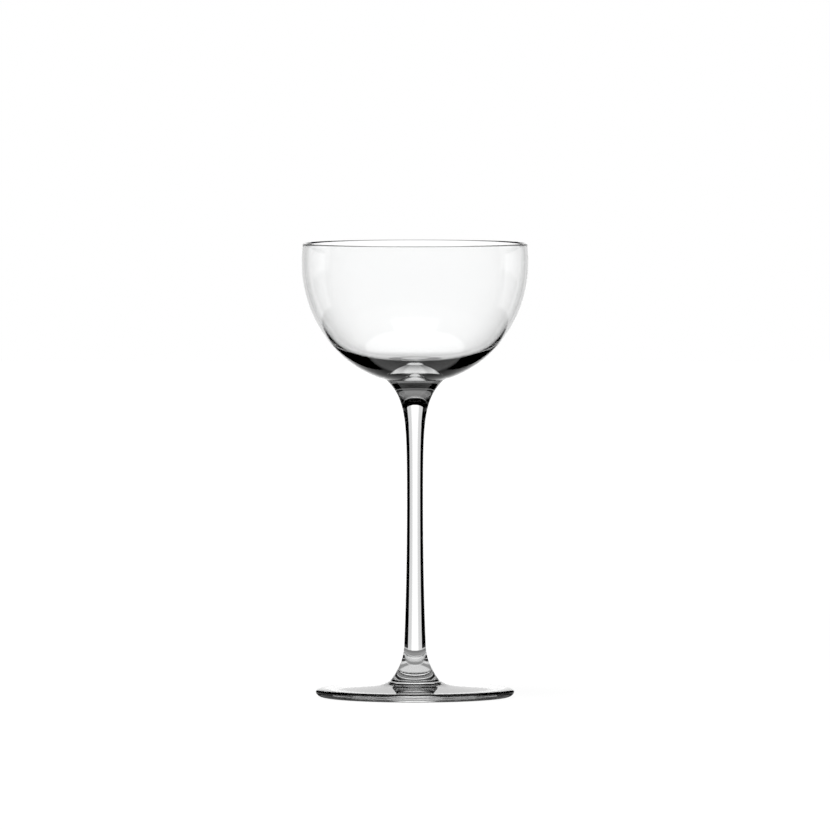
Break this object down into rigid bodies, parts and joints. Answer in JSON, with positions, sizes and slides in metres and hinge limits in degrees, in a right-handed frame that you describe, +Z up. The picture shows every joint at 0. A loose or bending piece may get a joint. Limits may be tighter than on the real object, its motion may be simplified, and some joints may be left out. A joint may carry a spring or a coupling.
{
  "type": "nick and nora glass",
  "caption": "Small stemmed cocktail glass in clear glass, with a round thin-walled bowl, a slender flared stem and a flat round foot.",
  "frame": {"origin": "on the glass's axis, on the plane that the foot rests on", "axes": "+Z up along the axis of the stem and bowl; +X and +Y are equal, as the glass is round"},
  "size_m": [0.0802, 0.0802, 0.1602],
  "materials": {
    "clear_glass": "clear, colourless, fire-polished"
  },
  "bodies": {
    "root": {"bowl": "clear_glass", "stem": "clear_glass", "foot": "clear_glass"}
  },
  "joints": []
}
